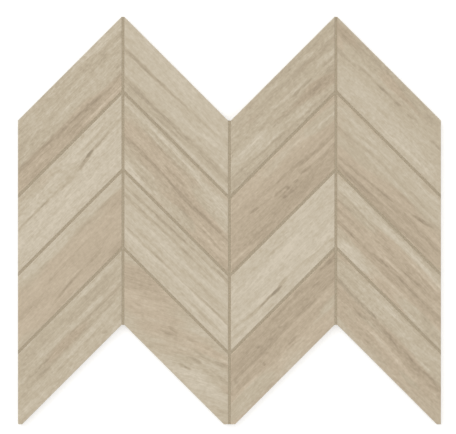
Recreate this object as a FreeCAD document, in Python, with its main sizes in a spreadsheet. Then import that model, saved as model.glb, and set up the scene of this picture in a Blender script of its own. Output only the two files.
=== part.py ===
# Chevron wall tile: a mosaic sheet of slanted porcelain chips. The columns lean to the right and to
# the left by turns, grout fills the joints, and a fibreglass mesh on the back holds the chips.
# Millimetres. The sheet lies flat with its printed face up (+Z) and its peaks towards +Y. The origin
# is the middle of the back.
import FreeCAD, Part
import Sketcher
import math
import os

COLUMNS = 4
ROWS = 4
MESH_CELLS_PER_COLUMN = 7

DIMENSIONS = [
    ("chip_width", 73.5, "width of a chip, from one upright edge to the other"),
    ("chip_edge", 52.5, "length of a chip's upright edge"),
    ("chip_thickness", 8.0, "thickness of a chip"),
    ("chevron_angle", 45.0, "slope of the chips, in degrees from level"),
    ("joint_width", 2.0, "gap between neighbouring chips, across the joint"),
    ("edge_break", 0.4, "bevel round the printed face of a chip"),
    ("point_clip", 3.0, "height sawn off the points at the foot of the sheet"),
    ("groove_width", 4.5, "width of a keying groove in the back of a chip"),
    ("groove_depth", 0.6, "depth of a keying groove"),
    ("groove_pitch", 9.0, "spacing of the keying grooves"),
    ("groove_margin", 2.5, "least land between a keying groove and the chip's long edge"),
    ("grout_recess", 0.5, "drop from the printed face to the top of the grout"),
    ("strand_width", 1.2, "width of a strand of the mesh"),
    ("level_thickness", 0.5, "thickness of a level strand, and so of the mesh"),
    ("upright_thickness", 0.3, "thickness of an upright strand, which runs through the level ones"),
    ("mesh_inset", 2.0, "how far the mesh stops short of the sheet's outline"),
]

doc = FreeCAD.newDocument("chevron_wall_tile")
sizes = doc.addObject("Spreadsheet::Sheet", "Sizes")
for line, (alias, value, meaning) in enumerate(DIMENSIONS, start=1):
    sizes.set(f"A{line}", meaning)
    sizes.set(f"B{line}", str(value))
    sizes.setAlias(f"B{line}", alias)
doc.recompute()

# Lengths that follow from the driving dimensions, written as expressions on the sheet.
SLOPE = "tan(Sizes.chevron_angle)"
JOINT_UPRIGHT = "(Sizes.joint_width / cos(Sizes.chevron_angle))"
RISE = f"(Sizes.chip_width * {SLOPE})"
COLUMN_PITCH = "(Sizes.chip_width + Sizes.joint_width)"
ROW_PITCH = f"(Sizes.chip_edge + {JOINT_UPRIGHT})"
COLUMN_HEIGHT = f"({ROWS} * {ROW_PITCH} - {JOINT_UPRIGHT})"
FOOT = f"(-({COLUMN_HEIGHT} + {RISE} + Sizes.point_clip) / 2)"
GROUT_DEPTH = "(Sizes.chip_thickness - Sizes.grout_recess)"
MESH_PITCH = f"({COLUMN_PITCH} / {MESH_CELLS_PER_COLUMN})"


def column_centre(column):
    return f"(({column - (COLUMNS - 1) / 2}) * {COLUMN_PITCH})"


def lean(column):
    # Columns rise to the right and fall to the right by turns, starting with a rising one.
    return 1 if column % 2 == 0 else -1


def origin_feature(body, role):
    return next(item for item in body.Origin.OriginFeatures if item.Role == role)


def new_body(label, height):
    # Strands and joints start as separate bars and become one solid when the last ones cross them.
    body = doc.addObject("PartDesign::Body", label)
    body.Label = label
    body.AllowCompound = True
    body.setExpression("Placement.Base.z", height)
    return body


def new_sketch(body, name, x, y):
    sketch = body.newObject("Sketcher::SketchObject", name)
    sketch.AttachmentSupport = [(origin_feature(body, "XY_Plane"), "")]
    sketch.MapMode = "FlatFace"
    sketch.setExpression("AttachmentOffset.Base.x", x)
    sketch.setExpression("AttachmentOffset.Base.y", y)
    return sketch


def closed_outline(sketch, corners):
    # Four straight edges, starting with the lower one, centred on the sketch's origin.
    points = [FreeCAD.Vector(x, y, 0) for x, y in corners]
    for start, end in zip(points, points[1:] + points[:1]):
        sketch.addGeometry(Part.LineSegment(start, end), False)
    for edge in range(4):
        sketch.addConstraint(Sketcher.Constraint("Coincident", edge, 2, (edge + 1) % 4, 1))
    sketch.addConstraint(Sketcher.Constraint("Vertical", 1))
    sketch.addConstraint(Sketcher.Constraint("Vertical", 3))
    sketch.addConstraint(Sketcher.Constraint("Parallel", 0, 2))
    sketch.addConstraint(Sketcher.Constraint("Symmetric", 0, 1, 2, 1, -1, 1))


def dimension(sketch, name, kind, start, end, expression):
    size = sketch.evalExpression(expression)
    index = sketch.addConstraint(Sketcher.Constraint(kind, *start, *end, float(size)))
    sketch.renameConstraint(index, name)
    sketch.setExpression(f"Constraints.{name}", expression)


def rectangle(body, name, width, height, x, y):
    sketch = new_sketch(body, name, x, y)
    half_width = float(sketch.evalExpression(width)) / 2
    half_height = float(sketch.evalExpression(height)) / 2
    corners = [(-half_width, -half_height), (half_width, -half_height),
               (half_width, half_height), (-half_width, half_height)]
    closed_outline(sketch, corners)
    sketch.addConstraint(Sketcher.Constraint("Horizontal", 0))
    dimension(sketch, "width", "DistanceX", (0, 1), (0, 2), width)
    dimension(sketch, "height", "DistanceY", (1, 1), (1, 2), height)
    return sketch


def slanted_strip(body, name, width, edge, leaning, x, y):
    # A parallelogram with upright ends, which rises by the chevron angle to one side.
    sketch = new_sketch(body, name, x, y)
    rise = f"({width} * {SLOPE})"
    half_width = float(sketch.evalExpression(width)) / 2
    half_edge = float(sketch.evalExpression(edge)) / 2
    half_rise = leaning * float(sketch.evalExpression(rise)) / 2
    corners = [(-half_width, -half_edge - half_rise), (half_width, -half_edge + half_rise),
               (half_width, half_edge + half_rise), (-half_width, half_edge - half_rise)]
    closed_outline(sketch, corners)
    dimension(sketch, "width", "DistanceX", (0, 1), (0, 2), width)
    dimension(sketch, "edge", "DistanceY", (1, 1), (1, 2), edge)
    low, high = ((0, 1), (0, 2)) if leaning > 0 else ((0, 2), (0, 1))
    dimension(sketch, "rise", "DistanceY", low, high, rise)
    return sketch


def pad(body, sketch, name, height):
    feature = body.newObject("PartDesign::Pad", name)
    feature.Profile = sketch
    feature.setExpression("Length", height)
    body.Tip = feature
    doc.recompute()
    return feature


def pocket(body, sketch, name, depth):
    # Cuts upwards from the back.
    before = body.Tip.Shape.Volume
    feature = body.newObject("PartDesign::Pocket", name)
    feature.Profile = sketch
    feature.Reversed = True
    feature.setExpression("Length", depth)
    body.Tip = feature
    doc.recompute()
    if feature.Shape.Volume >= before:
        raise RuntimeError(f"{body.Label}: {name} cuts nothing")
    return feature


def along(body, role):
    return (origin_feature(body, role), [""])


def sloping_axis(sketch, leaning):
    # A construction line through the strip's middle, parallel to its slanted edges.
    reach = float(sketch.evalExpression(MESH_PITCH))
    end = FreeCAD.Vector(reach, leaning * reach * float(sketch.evalExpression(SLOPE)), 0)
    line = sketch.addGeometry(Part.LineSegment(FreeCAD.Vector(0, 0, 0), end), True)
    sketch.addConstraint(Sketcher.Constraint("Coincident", line, 1, -1, 1))
    sketch.addConstraint(Sketcher.Constraint("Parallel", line, 0))
    dimension(sketch, "reach", "DistanceX", (line, 1), (line, 2), MESH_PITCH)
    return (sketch, ["Axis0"])


def repeat(body, feature, name, direction, spacing, count):
    copies = body.newObject("PartDesign::LinearPattern", name)
    copies.Originals = [feature]
    copies.Direction = direction
    copies.Mode = "Spacing"
    copies.setExpression("Offset", spacing)
    copies.Occurrences = count
    body.Tip = copies
    doc.recompute()


def clip_point(body, name, x, y, height, depth):
    # Saws an acute point off level, at the given height from its tip.
    sketch = rectangle(body, f"{name}_outline", "Sizes.chip_width", f"2 * {height}", x, y)
    pocket(body, sketch, name, depth)


def keying_grooves(body, leaning):
    # Shallow grooves along the back, parallel to the long edges and open at the upright ones.
    across = sizes.evalExpression("chip_edge * cos(chevron_angle)")
    room = across - sizes.groove_width - 2 * sizes.groove_margin
    count = max(1, math.floor(room / sizes.groove_pitch) + 1)
    spacing = "(Sizes.groove_pitch / cos(Sizes.chevron_angle))"
    edge = "(Sizes.groove_width / cos(Sizes.chevron_angle))"
    first = f"-{(count - 1) / 2} * {spacing}"
    outline = slanted_strip(body, "groove_outline", "Sizes.chip_width", edge, leaning, "0", first)
    groove = pocket(body, outline, "groove", "Sizes.groove_depth")
    if count > 1:
        repeat(body, groove, "grooves", along(body, "Y_Axis"), spacing, count)


def break_face_edges(body):
    base = body.Tip
    top = max(range(len(base.Shape.Faces)), key=lambda i: base.Shape.Faces[i].CenterOfMass.z)
    bevel = body.newObject("PartDesign::Chamfer", "edge_break")
    bevel.Base = (base, [f"Face{top + 1}"])
    bevel.setExpression("Size", "Sizes.edge_break")
    body.Tip = bevel
    doc.recompute()


def chip(column, row):
    # Rows count from the top of the sheet.
    body = new_body(f"chip_column{column + 1}_row{row + 1}", "Sizes.level_thickness")
    above_foot = ROWS - 1 - row
    centre_y = f"{FOOT} + ({RISE} + Sizes.chip_edge) / 2 + {above_foot} * {ROW_PITCH}"
    body.setExpression("Placement.Base.x", column_centre(column))
    body.setExpression("Placement.Base.y", centre_y)
    leaning = lean(column)
    outline = slanted_strip(body, "outline", "Sizes.chip_width", "Sizes.chip_edge", leaning, "0", "0")
    pad(body, outline, "blank", "Sizes.chip_thickness")
    if row == ROWS - 1:
        tip_x = f"{-leaning} * Sizes.chip_width / 2"
        tip_y = f"-({RISE} + Sizes.chip_edge) / 2"
        clip_point(body, "point_clip", tip_x, tip_y, "Sizes.point_clip", "Sizes.chip_thickness")
    keying_grooves(body, leaning)
    break_face_edges(body)
    return body


def joint_grout():
    # Upright joints between the columns and slanted ones between the rows, cast as one piece. An
    # upright joint ends level with the chips' corners: at a peak above, or at a clipped point below.
    body = new_body("joint_grout", "Sizes.level_thickness")
    for joint in range(COLUMNS - 1):
        x = f"({column_centre(joint)} + {COLUMN_PITCH} / 2)"
        if lean(joint) > 0:
            height = COLUMN_HEIGHT
            y = f"{FOOT} + {RISE} + {COLUMN_HEIGHT} / 2"
        else:
            height = f"({COLUMN_HEIGHT} - Sizes.point_clip)"
            y = f"{FOOT} + ({COLUMN_HEIGHT} + Sizes.point_clip) / 2"
        outline = rectangle(body, f"upright_{joint + 1}_outline", "Sizes.joint_width", height, x, y)
        pad(body, outline, f"upright_{joint + 1}", GROUT_DEPTH)
    lowest = f"{FOOT} + {RISE} / 2 + Sizes.chip_edge + {JOINT_UPRIGHT} / 2"
    for column in range(COLUMNS):
        name = f"slanted_{column + 1}"
        outline = slanted_strip(body, f"{name}_outline", "Sizes.chip_width", JOINT_UPRIGHT,
                                lean(column), column_centre(column), lowest)
        strip = pad(body, outline, name, GROUT_DEPTH)
        repeat(body, strip, f"{name}_rows", along(body, "Y_Axis"), ROW_PITCH, ROWS - 1)
    return body


def mesh_column(column):
    # The stretch of mesh behind one column: level and upright strands, fused where they cross and
    # cut along the slanted outline. No level strand comes nearer than one cell to an acute point, so
    # each one crosses an upright one. A stretch meets the next on the joint's centre line, half a
    # cell from the nearest upright strand of each.
    body = new_body(f"mesh_column_{column + 1}", "0")
    leaning = lean(column)
    left_shift = "Sizes.mesh_inset" if column == 0 else "(-Sizes.joint_width / 2)"
    right_shift = "Sizes.mesh_inset" if column == COLUMNS - 1 else "(-Sizes.joint_width / 2)"
    width = f"(Sizes.chip_width - {left_shift} - {right_shift})"
    shift = f"(({left_shift} - {right_shift}) / 2)"
    edge = f"({COLUMN_HEIGHT} - 2 * Sizes.mesh_inset / cos(Sizes.chevron_angle))"
    middle = f"({FOOT} + ({RISE} + {COLUMN_HEIGHT}) / 2)"
    centre_x = f"({column_centre(column)} + {shift})"
    centre_y = f"({middle} + {leaning} * {shift} * {SLOPE})"

    room = f"(({edge} + {width} * {SLOPE}) / 2 - (abs({shift}) + {MESH_PITCH}) * {SLOPE})"
    half_count = math.floor(sizes.evalExpression(f"{room} / {MESH_PITCH} + 0.5"))
    lowest = f"({middle} - {half_count - 0.5} * {MESH_PITCH})"
    outline = rectangle(body, "level_outline", width, "Sizes.strand_width", centre_x, lowest)
    level = pad(body, outline, "level", "Sizes.level_thickness")
    repeat(body, level, "levels", along(body, "Y_Axis"), MESH_PITCH, 2 * half_count)
    waste = f"(2 * {RISE})"
    waste_width = f"({width} + 2 * Sizes.strand_width)"
    for name, end in (("lower", -1), ("upper", 1)):
        y = f"{centre_y} + {end} * ({edge} + {waste}) / 2"
        outline = slanted_strip(body, f"{name}_waste", waste_width, waste, leaning, centre_x, y)
        pocket(body, outline, f"{name}_cut", "Sizes.level_thickness")

    to_first = f"(({COLUMN_PITCH} - {MESH_PITCH}) / 2)"
    first_x = f"({column_centre(column)} - {to_first})"
    first_y = f"({middle} - {leaning} * {to_first} * {SLOPE})"
    outline = slanted_strip(body, "upright_outline", "Sizes.strand_width", edge, leaning, first_x, first_y)
    lift = "(Sizes.level_thickness - Sizes.upright_thickness) / 2"
    outline.setExpression("AttachmentOffset.Base.z", lift)
    step = sloping_axis(outline, leaning)
    spacing = f"({MESH_PITCH} / cos(Sizes.chevron_angle))"
    upright = pad(body, outline, "upright", "Sizes.upright_thickness")
    repeat(body, upright, "uprights", step, spacing, MESH_CELLS_PER_COLUMN)
    return body


pieces = [chip(column, row) for column in range(COLUMNS) for row in range(ROWS)]
pieces.append(joint_grout())
pieces.extend(mesh_column(column) for column in range(COLUMNS))

doc.recompute()
for item in doc.Objects:
    if "Invalid" in item.State or "Error" in item.State:
        raise RuntimeError(f"{item.Label} failed: {item.State}")
for piece in pieces:
    shape = piece.Shape
    if shape.isNull() or not shape.isValid():
        raise RuntimeError(f"{piece.Label} has no valid shape")
    if len(shape.Solids) != 1:
        raise RuntimeError(f"{piece.Label} is {len(shape.Solids)} solids, not one")

os.makedirs("parts", exist_ok=True)
for piece in pieces:
    piece.Shape.exportStep(f"parts/{piece.Label}.step")
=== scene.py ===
# Looks of a chevron wall tile: a mesh-backed sheet of slanted porcelain chips with filled joints.
import math
from collections import namedtuple

import bpy
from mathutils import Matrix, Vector


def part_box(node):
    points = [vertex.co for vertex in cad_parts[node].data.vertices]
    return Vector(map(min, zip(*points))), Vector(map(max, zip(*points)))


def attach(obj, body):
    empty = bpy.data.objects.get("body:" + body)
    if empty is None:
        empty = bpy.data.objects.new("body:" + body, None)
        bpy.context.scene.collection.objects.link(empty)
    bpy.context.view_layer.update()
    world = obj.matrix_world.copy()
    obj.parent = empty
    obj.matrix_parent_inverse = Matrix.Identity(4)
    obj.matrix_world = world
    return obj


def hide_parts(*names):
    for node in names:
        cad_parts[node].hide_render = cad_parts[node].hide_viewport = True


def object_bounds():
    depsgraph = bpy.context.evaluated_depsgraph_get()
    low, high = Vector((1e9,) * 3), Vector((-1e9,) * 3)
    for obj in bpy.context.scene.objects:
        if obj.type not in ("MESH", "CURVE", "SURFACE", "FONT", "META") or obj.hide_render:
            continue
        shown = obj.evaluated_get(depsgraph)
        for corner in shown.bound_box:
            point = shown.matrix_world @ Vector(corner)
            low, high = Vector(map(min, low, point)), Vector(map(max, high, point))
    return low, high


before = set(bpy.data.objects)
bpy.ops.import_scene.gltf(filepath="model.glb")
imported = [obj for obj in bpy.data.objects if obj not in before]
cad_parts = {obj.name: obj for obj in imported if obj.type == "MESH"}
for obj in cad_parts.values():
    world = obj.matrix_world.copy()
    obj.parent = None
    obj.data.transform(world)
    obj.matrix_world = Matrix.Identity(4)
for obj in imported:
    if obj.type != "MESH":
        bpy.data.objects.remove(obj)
cad_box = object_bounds()

MM = 0.001
COLUMNS = 4
ROWS = 4
CHEVRON_ANGLE = math.radians(45)

# The print as it was drawn, chip by chip

# One drawn streak: a run from one place on the chip to another, its width, and its change of tone or hue.
# A place is a share of the chip's width from the left and a share of its upright edge, down from the top.
Streak = namedtuple("Streak", "start end width_mm change")

# The print of one chip: its overall tone from 0, taupe, to 1, cream; how much sandier its hue is than
# that tone's; how strong its fine figure is; its streaks; and the turn of its grain off the chip's slant.
Print = namedtuple("Print", "tone sandier figure streaks grain_turn", defaults=[0])
CROSSING_GRAIN = math.radians(29)


def streaks(*rows):
    """Each row is the place of the start, the place of the end, the width in mm and the change."""
    return [Streak((u0, v0), (u1, v1), width, change) for u0, v0, u1, v1, width, change in rows]


PRINTS = {
    # sand over a broad darker band with a crisp wavy upper edge
    (1, 1): Print(tone=0.59, sandier=0.06, figure=1.2, streaks=streaks(
        (-0.15, 0.86, 1.15, 0.91, 12.0, -0.20),
        (-0.10, 0.20, 1.10, 0.20, 12.0, 0.03),
        (-0.15, 0.69, 0.36, 0.70, 3.4, -0.22),
        (0.22, 0.695, 0.66, 0.745, 3.2, -0.18),
        (0.42, 0.725, 0.60, 0.74, 2.0, -0.06),
        (0.55, 0.76, 1.12, 0.80, 3.6, -0.21),
        (0.60, 0.765, 0.80, 0.775, 2.0, -0.06),
        (0.02, 0.845, 0.30, 0.85, 3.5, 0.10),
        (0.66, 0.945, 1.02, 0.945, 2.2, 0.26),
        (0.50, 0.08, 1.10, 0.07, 5.0, 0.10),
        (0.45, 0.165, 0.82, 0.20, 2.0, -0.10),
        (0.90, 0.23, 1.05, 0.235, 2.6, -0.15),
        (0.74, 0.12, 1.02, 0.13, 4.2, 0.12),
        (0.70, 0.29, 0.90, 0.325, 2.6, -0.14),
        (0.35, 0.50, 1.05, 0.48, 4.0, 0.05),
        (0.40, 0.32, 0.68, 0.31, 3.5, 0.08),
        (0.20, 0.245, 0.62, 0.25, 2.0, -0.06),
        (-0.10, 0.07, 0.46, 0.07, 4.4, 0.09),
        (-0.15, 0.48, 0.45, 0.47, 9.0, -0.09),
    )),
    # pale, with one dark open crack and a shaded upper corner
    (1, 2): Print(tone=0.78, sandier=0.00, figure=1.1, streaks=streaks(
        (-0.10, 0.08, 0.34, 0.10, 8.0, -0.18),
        (-0.06, 0.235, 0.12, 0.21, 2.5, -0.16),
        (0.28, 0.10, 0.42, 0.20, 2.4, -0.12),
        (0.36, 0.03, 0.68, 0.04, 3.0, -0.12),
        (0.43, 0.17, 0.82, 0.13, 3.5, 0.10),
        (0.62, 0.215, 0.90, 0.235, 2.6, -0.15),
        (0.665, 0.379, 0.725, 0.368, 2.6, -0.56),
        (0.65, 0.384, 0.84, 0.339, 2.4, -0.32),
        (0.82, 0.34, 1.04, 0.30, 2.4, -0.15),
        (0.585, 0.44, 0.70, 0.39, 2.8, -0.30),
        (0.00, 0.425, 0.14, 0.42, 2.0, -0.24),
        (0.13, 0.43, 0.28, 0.437, 1.8, -0.26),
        (0.23, 0.44, 0.33, 0.435, 1.6, -0.16),
        (0.34, 0.45, 0.48, 0.457, 2.0, -0.20),
        (0.58, 0.51, 0.88, 0.45, 4.0, 0.10),
        (0.00, 0.75, 1.00, 0.72, 14.0, 0.06),
        (0.46, 0.58, 0.56, 0.60, 1.8, -0.08),
        (0.44, 0.39, 0.62, 0.44, 5.0, -0.10),
        (0.73, 0.44, 0.86, 0.425, 3.0, 0.12),
        (0.32, 0.70, 0.47, 0.69, 3.0, -0.11),
    )),
    # pale along the top, warm taupe below with short dark dashes
    (1, 3): Print(tone=0.565, sandier=-0.06, figure=0.8, streaks=streaks(
        (-0.10, 0.08, 1.10, 0.08, 9.0, 0.18),
        (0.58, 0.215, 0.72, 0.22, 2.6, -0.16),
        (0.76, 0.195, 0.95, 0.205, 2.4, -0.20),
        (0.20, 0.20, 0.30, 0.21, 2.2, -0.10),
        (0.80, 0.36, 1.10, 0.37, 4.0, -0.10),
        (0.25, 0.485, 0.64, 0.45, 2.0, -0.15),
        (0.34, 0.425, 0.58, 0.42, 2.0, 0.07),
        (-0.10, 0.60, 0.28, 0.60, 3.4, -0.10),
        (0.34, 0.835, 0.52, 0.80, 2.2, -0.26),
        (0.44, 0.805, 0.62, 0.77, 1.8, -0.18),
        (0.66, 0.775, 0.82, 0.755, 2.0, -0.15),
        (0.47, 0.725, 0.60, 0.74, 1.8, 0.10),
        (0.38, 0.92, 0.54, 0.93, 3.4, -0.11),
        (0.88, 0.98, 1.08, 0.96, 5.0, -0.14),
    )),
    # many soft bands from edge to edge
    (1, 4): Print(tone=0.635, sandier=0.20, figure=1.0, streaks=streaks(
        (-0.10, 0.20, 1.10, 0.20, 10.0, -0.06),
        (-0.10, 0.86, 1.10, 0.86, 10.0, 0.05),
        (0.52, 0.08, 1.00, 0.06, 2.6, 0.14),
        (-0.08, 0.305, 0.12, 0.31, 3.0, -0.16),
        (0.46, 0.27, 0.96, 0.28, 3.8, -0.10),
        (0.18, 0.345, 0.42, 0.345, 3.5, 0.10),
        (0.44, 0.36, 1.02, 0.36, 3.5, 0.10),
        (0.02, 0.46, 0.32, 0.46, 2.4, -0.15),
        (0.16, 0.49, 0.72, 0.50, 6.0, -0.09),
        (0.62, 0.44, 1.02, 0.455, 2.0, -0.17),
        (0.40, 0.44, 0.64, 0.44, 1.8, -0.12),
        (-0.08, 0.595, 0.40, 0.60, 2.4, -0.09),
        (0.44, 0.57, 0.90, 0.575, 2.4, -0.12),
        (0.24, 0.69, 1.10, 0.655, 4.0, 0.11),
        (0.00, 0.49, 1.00, 0.49, 12.0, -0.06),
        (0.34, 0.755, 0.82, 0.75, 2.2, -0.11),
        (-0.10, 0.86, 0.28, 0.855, 3.5, 0.10),
        (0.81, 0.85, 0.87, 0.90, 2.4, -0.20),
        (0.94, 0.87, 1.04, 0.88, 3.0, -0.18),
    )),
    # pale, with a dark line that thins out and a soft low band
    (2, 1): Print(tone=0.70, sandier=0.20, figure=0.85, streaks=streaks(
        (-0.25, 0.455, 0.50, 0.395, 2.6, -0.24),
        (0.10, 0.425, 0.66, 0.385, 2.2, -0.12),
        (0.50, 0.39, 1.00, 0.355, 1.8, -0.14),
        (-0.05, 0.375, 0.55, 0.335, 1.8, 0.08),
        (0.60, 0.31, 1.00, 0.28, 2.2, 0.06),
        (0.74, 0.53, 0.94, 0.49, 3.0, 0.10),
        (0.56, 0.60, 0.70, 0.59, 2.4, 0.08),
        (-0.20, 0.885, 1.20, 0.87, 9.0, -0.19),
        (-0.30, 0.835, 0.55, 0.825, 3.0, -0.15),
        (0.30, 0.825, 0.66, 0.82, 3.8, -0.09),
        (0.50, 0.79, 1.20, 0.79, 3.4, -0.14),
        (0.32, 0.92, 0.56, 0.92, 2.4, -0.12),
        (0.25, 0.965, 0.95, 0.95, 1.8, 0.16),
        (0.45, 0.58, 1.05, 0.52, 12.0, 0.03),
        (-0.10, 0.18, 1.10, 0.14, 9.0, 0.06),
        (0.36, 0.95, 1.12, 0.95, 4.4, 0.09),
        (0.80, 0.26, 1.05, 0.25, 4.0, 0.08),
        (0.45, 0.70, 0.82, 0.70, 6.0, -0.06),
    )),
    # warm and streaky, with arching lines and one strong dark line
    (2, 2): Print(tone=0.56, sandier=-0.03, figure=1.15, streaks=streaks(
        (-0.10, 0.10, 0.40, 0.07, 4.0, 0.14),
        (0.26, 0.07, 0.64, 0.10, 3.0, 0.20),
        (0.58, 0.10, 0.80, 0.165, 3.0, 0.24),
        (0.74, 0.20, 1.12, 0.24, 10.0, 0.22),
        (0.22, 0.18, 0.64, 0.195, 1.5, 0.12),
        (0.30, 0.125, 0.60, 0.14, 1.6, -0.12),
        (0.06, 0.315, 0.22, 0.31, 2.8, -0.15),
        (0.26, 0.235, 0.62, 0.25, 1.8, -0.16),
        (0.40, 0.405, 0.60, 0.405, 2.4, -0.24),
        (-0.10, 0.58, 1.10, 0.58, 8.0, -0.11),
        (-0.10, 0.56, 0.38, 0.545, 2.6, -0.24),
        (0.28, 0.555, 0.54, 0.56, 2.6, -0.20),
        (0.46, 0.58, 0.74, 0.585, 2.8, -0.19),
        (0.68, 0.565, 1.02, 0.57, 2.4, -0.23),
        (0.72, 0.49, 1.06, 0.485, 1.8, 0.14),
        (0.06, 0.455, 0.20, 0.45, 2.4, 0.10),
        (0.48, 0.69, 0.58, 0.76, 3.2, -0.13),
        (0.55, 0.75, 0.68, 0.88, 3.8, -0.11),
        (-0.06, 0.92, 0.14, 0.95, 7.0, 0.26),
        (0.08, 0.97, 0.32, 0.93, 3.0, 0.16),
        (0.06, 0.73, 0.30, 0.73, 1.8, 0.12),
        (0.70, 0.74, 0.98, 0.74, 1.6, 0.14),
        (0.70, 0.785, 0.96, 0.79, 1.8, -0.20),
        (0.70, 0.84, 0.98, 0.845, 1.6, 0.12),
        (0.68, 0.93, 1.02, 0.94, 3.0, -0.12),
        (0.10, 0.86, 0.26, 0.88, 2.6, -0.12),
        (0.32, 0.89, 0.68, 0.90, 7.0, 0.09),
        (-0.10, 0.06, 0.80, 0.06, 4.0, 0.07),
    )),
    # pale, with regular fine dark streaks
    (2, 3): Print(tone=0.725, sandier=0.10, figure=0.9, streaks=streaks(
        (-0.15, 0.18, 0.38, 0.14, 2.2, -0.22),
        (0.28, 0.145, 0.64, 0.11, 2.0, -0.22),
        (0.56, 0.115, 0.92, 0.09, 1.8, -0.16),
        (0.86, 0.07, 1.10, 0.065, 2.0, -0.22),
        (-0.15, 0.295, 0.34, 0.27, 2.4, -0.22),
        (0.28, 0.267, 0.66, 0.245, 2.2, -0.20),
        (0.56, 0.245, 0.90, 0.22, 1.8, -0.13),
        (0.76, 0.16, 0.94, 0.15, 2.4, 0.11),
        (0.00, 0.235, 0.60, 0.20, 2.0, 0.10),
        (0.08, 0.46, 0.75, 0.42, 3.0, 0.12),
        (0.70, 0.375, 0.94, 0.36, 3.0, 0.10),
        (0.10, 0.58, 0.36, 0.565, 2.2, -0.18),
        (0.34, 0.57, 0.62, 0.555, 2.0, -0.12),
        (0.62, 0.515, 0.96, 0.48, 2.4, -0.10),
        (-0.15, 0.73, 0.30, 0.70, 2.0, -0.24),
        (0.24, 0.70, 0.36, 0.69, 2.2, -0.14),
        (0.30, 0.69, 0.64, 0.675, 1.8, -0.18),
        (0.62, 0.675, 0.86, 0.655, 2.0, -0.20),
        (0.78, 0.66, 1.12, 0.635, 2.0, -0.20),
        (-0.15, 0.78, 0.34, 0.755, 3.6, 0.12),
        (0.30, 0.74, 1.10, 0.695, 3.0, 0.13),
        (0.64, 0.865, 0.92, 0.845, 2.0, -0.20),
        (0.26, 0.83, 0.64, 0.80, 2.0, -0.12),
        (0.00, 0.14, 1.00, 0.10, 12.0, -0.09),
        (0.00, 0.82, 1.00, 0.78, 12.0, 0.04),
    )),
    # grain that crosses the chip at a slant, taupe to pale, with dark dashes along it
    (2, 4): Print(tone=0.62, sandier=-0.02, figure=0.9, grain_turn=CROSSING_GRAIN, streaks=streaks(
        (-0.10, 0.30, 0.42, 0.04, 16.0, -0.19),
        (0.40, 0.90, 1.05, 0.64, 11.0, 0.22),
        (0.60, 0.13, 0.82, 0.02, 5.0, 0.12),
        (0.34, 0.575, 0.46, 0.49, 2.4, -0.24),
        (0.42, 0.43, 0.51, 0.375, 2.0, -0.26),
        (0.42, 0.49, 0.51, 0.435, 1.8, -0.14),
        (0.525, 0.785, 0.60, 0.735, 2.4, -0.36),
        (0.58, 0.75, 0.65, 0.705, 2.0, -0.30),
        (0.10, 0.56, 0.17, 0.505, 1.8, -0.18),
        (-0.03, 0.49, 0.05, 0.455, 2.0, -0.18),
        (0.64, 0.55, 0.75, 0.48, 2.2, -0.20),
        (0.77, 0.54, 0.90, 0.46, 2.2, -0.26),
        (0.68, 0.395, 0.84, 0.32, 2.4, -0.20),
        (0.76, 0.24, 0.83, 0.165, 2.0, -0.20),
        (0.86, 0.30, 1.00, 0.17, 2.4, -0.22),
        (0.88, 0.43, 1.04, 0.385, 2.4, -0.24),
        (0.60, 0.33, 0.72, 0.24, 2.0, -0.18),
        (0.90, 0.19, 1.03, 0.10, 2.0, 0.19),
        (0.72, 0.46, 0.85, 0.40, 2.2, 0.16),
        (0.82, 0.37, 0.92, 0.32, 2.0, 0.14),
        (0.57, 0.39, 0.67, 0.33, 2.0, 0.12),
        (0.50, 0.56, 0.60, 0.50, 2.0, 0.10),
        (0.20, 0.62, 0.34, 0.54, 2.6, 0.08),
        (0.50, 0.95, 1.10, 0.94, 5.0, 0.10),
        (0.80, 0.15, 1.05, 0.15, 4.0, -0.09),
    )),
    # sand, with a grey band, a pale streak over a dark fleck and a shaded right side
    (3, 1): Print(tone=0.57, sandier=0.14, figure=1.1, streaks=streaks(
        (0.36, 0.10, 0.50, 0.13, 3.0, 0.12),
        (0.67, 0.14, 0.80, 0.18, 3.0, 0.16),
        (0.90, 0.19, 1.08, 0.21, 3.0, 0.12),
        (0.34, 0.21, 0.78, 0.26, 4.5, -0.14),
        (0.60, 0.28, 1.12, 0.31, 5.0, -0.14),
        (0.10, 0.385, 0.52, 0.415, 2.4, 0.10),
        (0.44, 0.43, 0.72, 0.46, 2.6, 0.21),
        (0.84, 0.44, 1.08, 0.46, 3.0, 0.16),
        (0.595, 0.515, 0.67, 0.52, 2.0, -0.32),
        (0.64, 0.52, 0.80, 0.52, 1.8, -0.16),
        (0.88, 0.515, 1.06, 0.51, 1.8, -0.14),
        (0.26, 0.53, 0.40, 0.525, 2.4, -0.10),
        (-0.12, 0.585, 0.34, 0.595, 2.6, 0.13),
        (0.20, 0.60, 0.42, 0.63, 2.2, 0.09),
        (0.42, 0.64, 0.86, 0.74, 5.0, -0.13),
        (0.66, 0.67, 1.15, 0.74, 9.0, -0.20),
        (-0.10, 0.58, 0.44, 0.72, 12.0, 0.07),
        (0.76, 0.70, 0.96, 0.745, 3.0, -0.05),
        (0.02, 0.795, 0.30, 0.84, 1.8, -0.15),
        (0.24, 0.84, 0.54, 0.88, 1.8, -0.16),
        (0.46, 0.895, 0.92, 0.935, 2.0, -0.14),
        (0.28, 0.80, 0.52, 0.84, 1.8, 0.10),
        (0.54, 0.87, 0.98, 0.865, 3.0, 0.13),
        (0.00, 0.69, 0.45, 0.72, 5.0, 0.06),
        (0.38, 0.07, 0.76, 0.08, 4.4, -0.08),
        (0.70, 0.15, 1.08, 0.15, 4.4, -0.10),
        (0.78, 0.85, 1.06, 0.84, 4.2, -0.12),
    )),
    # warm mid tone, with a bent dark line and a broken knot
    (3, 2): Print(tone=0.49, sandier=-0.06, figure=0.9, streaks=streaks(
        (-0.10, 0.12, 1.10, 0.16, 13.0, 0.13),
        (0.60, 0.14, 0.88, 0.20, 2.6, 0.13),
        (0.82, 0.19, 1.08, 0.28, 2.6, 0.17),
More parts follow.
